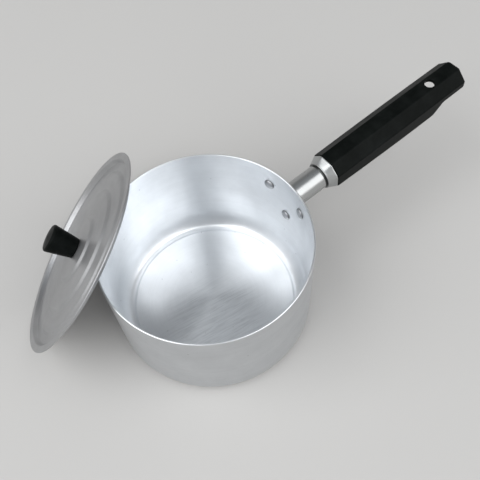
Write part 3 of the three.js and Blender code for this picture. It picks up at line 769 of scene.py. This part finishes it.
half_front = GRIP_FLATS / 2
belly_bottom = -half_front - BELLY_DROP
tab_start = BELLY_LENGTH + BELLY_ROUND + UNDERCUT_RUN
tab_end = GRIP_LENGTH - TAB_END_CHAMFER_LENGTH
belly = np.linspace(0, BELLY_LENGTH, BELLY_POINTS)
bottom_line = np.concatenate([
    np.stack([belly, -half_front - BELLY_DROP * np.sin(belly / BELLY_LENGTH * np.pi / 2)], axis=1)[:-1],
    rounded([
        (BELLY_LENGTH - BELLY_LEAD, belly_bottom, 0),
        (BELLY_LENGTH + BELLY_OVERRUN, belly_bottom, BELLY_BEND),
        (tab_start, TAB_UNDERSIDE, BELLY_BEND),
        (GRIP_LENGTH, TAB_UNDERSIDE, 0),
    ])[1:],
])
grip_x = np.concatenate([
    GRIP_FRONT_EDGE * opening[:, 0],
    np.arange(GRIP_STEP, BELLY_LENGTH - BELLY_LEAD, GRIP_STEP),
    np.arange(BELLY_LENGTH - BELLY_LEAD, tab_start + UNDERCUT_TAIL, UNDERCUT_STEP),
    np.arange(tab_start + TAB_LEAD, tab_end - TAB_TAIL, TAB_STEP),
    tab_end + TAB_END_CHAMFER_LENGTH * np.sin(np.linspace(0, np.pi / 2, TAB_END_ROWS)),
])

# Inset rounds the front edge by a quarter circle, and ending rounds the hanging end by a quarter ellipse.
front_left = np.clip(GRIP_FRONT_EDGE - grip_x, 0, None)
inset = GRIP_FRONT_EDGE - np.sqrt(GRIP_FRONT_EDGE ** 2 - front_left ** 2)
ending = np.clip((grip_x - tab_end) / TAB_END_CHAMFER_LENGTH, 0, 1)
ending = 1 - np.sqrt(1 - ending ** 2)
grip_half = half_front + GRIP_SWELL * np.sin(np.pi * grip_x / GRIP_LENGTH)
grip_bottom = np.interp(grip_x, bottom_line[:, 0], bottom_line[:, 1])
grip_bottom = grip_bottom - (grip_half - half_front) * (grip_x < BELLY_LENGTH)
upper_cut = grip_half * (1 - math.tan(HALF_FACET))
undercut = np.clip((grip_x - BELLY_LENGTH) / (tab_start - BELLY_LENGTH), 0, 1)
lower_cut = upper_cut + (TAB_EDGE_CHAMFER - upper_cut) * undercut
grip_half = grip_half - inset - TAB_END_CHAMFER * ending
grip_bottom = grip_bottom + inset + TAB_EDGE_CHAMFER * ending
grip_rings = grip_section(grip_x + grip_front, grip_half, grip_bottom, upper_cut, lower_cut, GRIP_CORNER)
grip_columns = grip_rings.shape[1]
front_angle = np.arctan2(grip_rings[0, :, 2], grip_rings[0, :, 1])
insert_bore = INSERT_RADIUS + SEAT_GAP
insert_end = insert_x[-1, 0] + SEAT_GAP
bore_end = stud_x[-1, 0] + BORE_END_ROOM
bore_x = np.array([bore_end, bore_end, insert_end, insert_end, grip_front])[:, None]
bore_radius = np.array([0, stud_bore, stud_bore, insert_bore, insert_bore])[:, None]
grip_grid = np.concatenate([
    round_axis(bore_x, bore_radius, front_angle),
    grip_rings,
    np.broadcast_to(grip_rings[-1].mean(axis=0), (1, grip_columns, 3)),
])
grip = skin("handle_grip_moulding", on_handle(grip_grid))


def cut_out(target, cutters):
    """Takes each cutter's solid away from the target, bakes that into its mesh and drops the cutters."""
    for cutter in cutters:
        trim = target.modifiers.new("cut", "BOOLEAN")
        trim.operation = "DIFFERENCE"
        trim.solver = "EXACT"
        trim.object = cutter
    bpy.context.view_layer.update()
    finished = target.evaluated_get(bpy.context.evaluated_depsgraph_get())
    result = bpy.data.meshes.new_from_object(finished)
    target.modifiers.clear()
    target.data = result
    for cutter in cutters:
        bpy.data.objects.remove(cutter)
    result.materials.clear()
    shaded(result)


# Cutters: the hanging hole with an eased upper edge, and the pocket cored into the end from below.
tab_half = half_front + GRIP_SWELL * math.sin(math.pi * HANG_HOLE_PLACE / GRIP_LENGTH)
hole_top = tab_half + HANG_HOLE_OVERRUN
hole_edge = HANG_HOLE_RADIUS + HANG_HOLE_EDGE * opening, tab_half - HANG_HOLE_EDGE * closing
hole_line = np.concatenate([
    [[0, 0], [HANG_HOLE_RADIUS, 0]],
    np.concatenate(hole_edge, axis=1),
    [[HANG_HOLE_RADIUS + HANG_HOLE_EDGE, hole_top], [0, hole_top]],
])
hole_grid = turned(hole_line, HANG_HOLE_SEGMENTS) + [grip_front + HANG_HOLE_PLACE, 0, 0]
pocket_x = grip_front + np.array([HANG_HOLE_PLACE - POCKET_LEAD, GRIP_LENGTH - TAB_END_WALL])
pocket_sizes = tab_half - TAB_WALL, POCKET_BOTTOM, upper_cut[0] - TAB_WALL, POCKET_LOWER_CUT
pocket_rings = grip_section(pocket_x, *(np.full(2, size) for size in pocket_sizes), POCKET_CORNER)
pocket_ends = pocket_rings.mean(axis=1, keepdims=True).repeat(grip_columns, axis=1)
pocket_grid = np.concatenate([pocket_ends[:1], pocket_rings, pocket_ends[1:]])
cut_out(grip, [skin("hole_cutter", on_handle(hole_grid)), skin("pocket_cutter", on_handle(pocket_grid))])
grip.modifiers.new("even_shading", "WEIGHTED_NORMAL").keep_sharp = True


def black_bakelite(name):
    """Moulded phenolic: near black with a faint green cast. Cloudy noise in the part's own space varies
    the gloss and lifts the colour where hands have dulled it. A fine noise gives the moulded skin."""
    made, tree, surface = shader(name)
    spot = own_place(tree)
    clouds = noise(tree, spot, *BAKELITE_CLOUDS)
    worn = ranged(tree, clouds, 0.0, 1.0, *BAKELITE_WORN_SPAN)
    fed(tree, surface, {
        "Base Color": blended(tree, worn, BAKELITE_COLOUR, BAKELITE_WORN_COLOUR),
        "Roughness": ranged(tree, clouds, *BAKELITE_ROUGHNESS, *TONE_SPAN),
        "Normal": bumped(tree, noise(tree, spot, *BAKELITE_GRAIN), *BAKELITE_BUMP),
        "Specular IOR Level": BAKELITE_SPECULAR,
    })
    return made


grip.data.materials.append(black_bakelite("black_grip_bakelite"))
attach(grip, "pan")
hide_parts("handle_grip")

# Lid. A disc pressed and spun from thin aluminium: a flat flange, a flank that locates it in the pan's
# mouth, a shallow recess and three low steps up to the centre. It leans on the rim, one edge on the floor.
LID_RADIUS = 82.6
LID_SHEET = 1.0
LID_EDGE = 0.45
LID_BEND = 1.3
LID_STEP_RUN = 3.0
LID_STEP_BEND = 2.2
LID_PLUG_RADIUS = 77.2
LID_FLANK_RUN = 2.0
LID_RECESS = -2.5
LID_STEP_RADII = (67.0, 50.0, 26.0)
LID_STEP_HEIGHT = 1.7
KNOB_SCREW_RADIUS = 2.0
LID_CENTRE = (-71.01983, 71.89944, 65.64312)
LID_LEAN_ANGLE = 52.4
LID_LEAN_SIDE = 133.4
LID_COLOUR = (0.46, 0.465, 0.475)
LID_ROUGHNESS = 0.45
LID_ANISOTROPY = 0.45

lean = Matrix.Rotation(math.radians(LID_LEAN_ANGLE), 3, "Y")
lid_axes = np.array(Matrix.Rotation(math.radians(LID_LEAN_SIDE), 3, "Z") @ lean)


def on_lid(points):
    """Points about the lid's own axis, moved to where the lid leans."""
    return points @ lid_axes.T + LID_CENTRE


screw_bore = KNOB_SCREW_RADIUS + SEAT_GAP
lid_top = LID_RECESS + len(LID_STEP_RADII) * LID_STEP_HEIGHT
lid_corners = [(screw_bore, lid_top, 0)]
for step, step_radius in reversed(list(enumerate(LID_STEP_RADII))):
    step_top = LID_RECESS + (step + 1) * LID_STEP_HEIGHT
    step_foot = LID_RECESS + step * LID_STEP_HEIGHT
    lid_corners.append((step_radius - LID_STEP_RUN / 2, step_top, LID_STEP_BEND))
    lid_corners.append((step_radius + LID_STEP_RUN / 2, step_foot, LID_STEP_BEND))
lid_corners.append((LID_PLUG_RADIUS - LID_FLANK_RUN, LID_RECESS, LID_BEND))
lid_corners.append((LID_PLUG_RADIUS, LID_SHEET, LID_BEND))
lid_corners.append((LID_RADIUS, LID_SHEET, LID_EDGE))
lid_under = [(r, z - LID_SHEET, bend) for r, z, bend in reversed(lid_corners)]
lid_line = spread(rounded([*lid_corners, *lid_under, lid_corners[0]]), PAN_STEP)
lid = skin("lid_pressing", on_lid(turned(lid_line[:-1], PAN_SEGMENTS)), ring=True)
lid_metal = spun_aluminium("satin_lid_aluminium", LID_COLOUR, LID_ROUGHNESS, LID_ANISOTROPY)[0]
lid.data.materials.append(lid_metal)
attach(lid, "lid")
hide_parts("lid_disc")

# Knob insert. A short brass sleeve like the grip's, tapped for the screw, knurled outside and moulded into
# the knob's foot.
KNOB_INSERT_RADIUS = 3.8
KNOB_INSERT_LENGTH = 9.0
KNOB_INSERT_INSET = 0.6
KNOB_KNURLS = 16
SCREW_PITCH = 0.7
SCREW_THREAD_DEPTH = 0.35


def on_lid_axis(grid):
    """A grid made along an x axis, stood on the lid's axis."""
    return on_lid(grid[..., [1, 2, 0]])


knob_seat = lid_top + SEAT_GAP
knob_insert_start = knob_seat + KNOB_INSERT_INSET
knob_insert_x = stops(knob_insert_start, knob_insert_start + KNOB_INSERT_LENGTH, SCREW_PITCH)
knob_insert_hole = tapped(knob_insert_x, screw_bore, SCREW_PITCH, SCREW_THREAD_DEPTH)
knob_insert_side = knurled(knob_insert_x, KNOB_INSERT_RADIUS, KNOB_KNURLS)
knob_insert_grid = sleeve(knob_insert_x, knob_insert_side, knob_insert_hole)
knob_insert = skin("knob_insert_sleeve", on_lid_axis(knob_insert_grid), ring=True)
knob_insert.data.materials.append(insert_brass)
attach(knob_insert, "lid")
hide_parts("knob_insert")

# Knob washer. A plain steel washer, punched from sheet and plated, its edges eased by tumbling. It lies
# under the lid and spreads the screw's pull over the thin sheet.
KNOB_WASHER_RADIUS = 5.5
KNOB_WASHER_THICKNESS = 0.8
WASHER_EASE = 0.2

washer_top = lid_top - LID_SHEET - SEAT_GAP
washer_bottom = washer_top - KNOB_WASHER_THICKNESS
washer_middle = ((screw_bore + KNOB_WASHER_RADIUS) / 2, washer_bottom, 0)
washer_line = rounded([
    washer_middle,
    (KNOB_WASHER_RADIUS, washer_bottom, WASHER_EASE),
    (KNOB_WASHER_RADIUS, washer_top, WASHER_EASE),
    (screw_bore, washer_top, WASHER_EASE),
    (screw_bore, washer_bottom, WASHER_EASE),
    washer_middle,
])
washer = skin("knob_washer_ring", on_lid(turned(washer_line[:-1], FIXING_SEGMENTS)), ring=True)
washer.data.materials.append(fixing_steel)
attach(washer, "lid")
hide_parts("knob_washer")

# Knob screw. A plated steel screw with a slotted round head, put in from under the lid through the washer.
# It pulls the knob down by its insert.
KNOB_SCREW_LENGTH = 13.0
SCREW_HEAD_RADIUS = 3.8
SCREW_HEAD_HEIGHT = 2.2
SCREW_HEAD_ROUND = 1.2
SCREW_HEAD_EASE = 0.3
SCREW_SLOT_WIDTH = 1.0
SCREW_SLOT_DEPTH = 1.1
SCREW_SLOT_OVERRUN = 1.2

screw_seat = washer_bottom - SEAT_GAP
screw_end = screw_seat - SCREW_HEAD_HEIGHT
head_line = rounded([
    (0, screw_end, 0),
    (SCREW_HEAD_RADIUS, screw_end, SCREW_HEAD_ROUND),
    (SCREW_HEAD_RADIUS, screw_seat, SCREW_HEAD_EASE),
    (KNOB_SCREW_RADIUS, screw_seat, 0),
])
head_grid = round_axis(head_line[:, 1:], head_line[:, :1], fixing_turn)
screw_x = stops(screw_seat, screw_seat + KNOB_SCREW_LENGTH, SCREW_PITCH)
screw_thread = KNOB_SCREW_RADIUS - SCREW_THREAD_DEPTH * thread(screw_x, fixing_turn, SCREW_PITCH)
screw_rod = rod(screw_x, eased(screw_x, screw_thread, FIXING_EASE))
screw = skin("knob_screw_slotted", on_lid_axis(np.concatenate([head_grid, screw_rod[1:]])))

# The slot's cutter: a bar of four corners across the head, closed by a point at each end.
slot_corners = np.array([[-1, -1], [1, -1], [1, 1], [-1, 1]]) * [SCREW_SLOT_WIDTH / 2, SCREW_SLOT_DEPTH]
slot_section = slot_corners * np.array([0, 1, 1, 0])[:, None, None] + [0, screw_end]
slot_reach = SCREW_HEAD_RADIUS * SCREW_SLOT_OVERRUN
slot_x = np.array([-1, -1, 1, 1])[:, None, None] * slot_reach + np.zeros((4, 4, 1))
cut_out(screw, [skin("slot_cutter", on_lid(np.concatenate([slot_x, slot_section], axis=2)))])
screw.data.materials.append(fixing_steel)
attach(screw, "lid")
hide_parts("knob_screw")

# Knob. A tapered moulding in the same black bakelite, wider at its top, with an eased edge, a softly
# crowned face and a blind hole round its insert. It stands on the middle of the lid.
KNOB_BASE_RADIUS = 8.0
KNOB_TOP_RADIUS = 11.2
KNOB_HEIGHT = 21.5
KNOB_EDGE = 1.8
KNOB_CROWN = 1.5
KNOB_FOOT_EDGE = 0.5
KNOB_BORE_END_ROOM = 1.5
KNOB_SEGMENTS = 96
KNOB_STEP = 1.0

knob_bore = KNOB_INSERT_RADIUS + SEAT_GAP
knob_bore_end = screw_x[-1, 0] + KNOB_BORE_END_ROOM
knob_top = knob_seat + KNOB_HEIGHT
knob_line = rounded([
    (0, knob_bore_end, 0),
    (knob_bore, knob_bore_end, 0),
    (knob_bore, knob_seat, 0),
    (KNOB_BASE_RADIUS, knob_seat, KNOB_FOOT_EDGE),
    (KNOB_TOP_RADIUS, knob_top, KNOB_EDGE),
    (0, knob_top + KNOB_CROWN, 0),
])
knob = skin("lid_knob_moulding", on_lid(turned(spread(knob_line, KNOB_STEP), KNOB_SEGMENTS)))
knob.data.materials.append(black_bakelite("black_knob_bakelite"))
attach(knob, "lid")
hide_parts("lid_knob")

# Floor, light and camera. A pale matt floor, two soft boxes (azimuth, elevation and watts), one to each
# side of the camera, and a soft sky that pales to a backdrop at the horizon. The camera stands where the
# photograph was taken from, above the pan on the side away from its handle.
FLOOR_COLOUR = (0.54, 0.532, 0.52)
FLOOR_ROUGHNESS = 0.8
FLOOR_MOTTLE = (3.0, 2.0)
FLOOR_DARK_TONE = 0.985
FLOOR_LIGHT_TONE = 1.015
FLOOR_RADIUS = 2.8
FLOOR_SEGMENTS = 144
SOFT_BOXES = (("soft_box_right", -66.0, 45.0, 52.0), ("soft_box_left", 168.0, 50.0, 64.0))
SOFT_BOX_SIZE = 3.0
SOFT_BOX_DISTANCE = 3.0
ZENITH_COLOUR = (0.42, 0.445, 0.47)
FAR_SKY_COLOUR = (0.19, 0.19, 0.19)
ZENITH_AIM = (-0.40, -0.24, 0.885)
ZENITH_SPAN = (0.15, 0.95)
BACKDROP_COLOUR = (0.56, 0.555, 0.55)
BACKDROP_SPAN = (0.35, 0.60)
CAMERA_PLACE = (-0.11683, -0.21731, 0.49056)
CAMERA_FORWARD = (0.29287, 0.43094, -0.85353)
CAMERA_ROLL = -5.324
CAMERA_LENS = 48.75
CAMERA_SHIFT_PIXELS = 1
IMAGE_SIDE = 480

floor_turn = np.linspace(0, 2 * np.pi, FLOOR_SEGMENTS, endpoint=False)
floor_edge = FLOOR_RADIUS * np.stack([np.cos(floor_turn), np.sin(floor_turn), 0 * floor_turn], axis=1)
floor_mesh = bpy.data.meshes.new("floor")
floor_mesh.from_pydata(floor_edge.tolist(), [], [list(range(FLOOR_SEGMENTS))])
floor = bpy.data.objects.new("floor", floor_mesh)
bpy.context.scene.collection.objects.link(floor)
floor_paint, floor_tree, floor_surface = shader("pale_floor")
mottle = noise(floor_tree, own_place(floor_tree), *FLOOR_MOTTLE)
floor_tones = toned(FLOOR_COLOUR, FLOOR_DARK_TONE), toned(FLOOR_COLOUR, FLOOR_LIGHT_TONE)
floor_tint = blended(floor_tree, mottle, *floor_tones)
fed(floor_tree, floor_surface, {"Base Color": floor_tint, "Roughness": FLOOR_ROUGHNESS})
floor.data.materials.append(floor_paint)

for name, azimuth, elevation, power in SOFT_BOXES:
    lamp = bpy.data.lights.new(name, "AREA")
    lamp.size = SOFT_BOX_SIZE
    lamp.energy = power
    soft_box = bpy.data.objects.new(name, lamp)
    bpy.context.scene.collection.objects.link(soft_box)
    a, e = math.radians(azimuth), math.radians(elevation)
    toward = Vector((math.cos(e) * math.cos(a), math.cos(e) * math.sin(a), math.sin(e)))
    aimed = toward.to_track_quat("Z", "Y").to_matrix().to_4x4()
    soft_box.matrix_world = Matrix.Translation(toward * SOFT_BOX_DISTANCE) @ aimed

sky = bpy.data.worlds.new("sky")
sky.use_nodes = True
sky_tree = sky.node_tree
aim = node(sky_tree, "ShaderNodeTexCoord").outputs["Generated"]
nearness = node(sky_tree, "ShaderNodeVectorMath", {0: aim, 1: ZENITH_AIM}, operation="DOT_PRODUCT")
zenith = ranged(sky_tree, nearness.outputs["Value"], 0.0, 1.0, *ZENITH_SPAN)
glow = blended(sky_tree, zenith, FAR_SKY_COLOUR, ZENITH_COLOUR)
level = node(sky_tree, "ShaderNodeSeparateXYZ", {0: aim}).outputs["Z"]
overhead = ranged(sky_tree, level, 0.0, 1.0, *BACKDROP_SPAN)
fed(sky_tree, sky_tree.nodes["Background"], {"Color": blended(sky_tree, overhead, BACKDROP_COLOUR, glow)})
bpy.context.scene.world = sky

lens = bpy.data.cameras.new("camera")
lens.lens = CAMERA_LENS
lens.shift_y = CAMERA_SHIFT_PIXELS / IMAGE_SIDE
camera = bpy.data.objects.new("camera", lens)
bpy.context.scene.collection.objects.link(camera)
forward = Vector(CAMERA_FORWARD).normalized()
right = forward.cross(Vector((0, 0, 1))).normalized()
up = right.cross(forward)
roll = math.radians(CAMERA_ROLL)
camera_x = right * math.cos(roll) + up * math.sin(roll)
camera_y = up * math.cos(roll) - right * math.sin(roll)
camera_axes = Matrix((camera_x, camera_y, -forward)).transposed().to_4x4()
camera.matrix_world = Matrix.Translation(CAMERA_PLACE) @ camera_axes
bpy.context.scene.camera = camera
bpy.context.scene.view_settings.view_transform = "Standard"
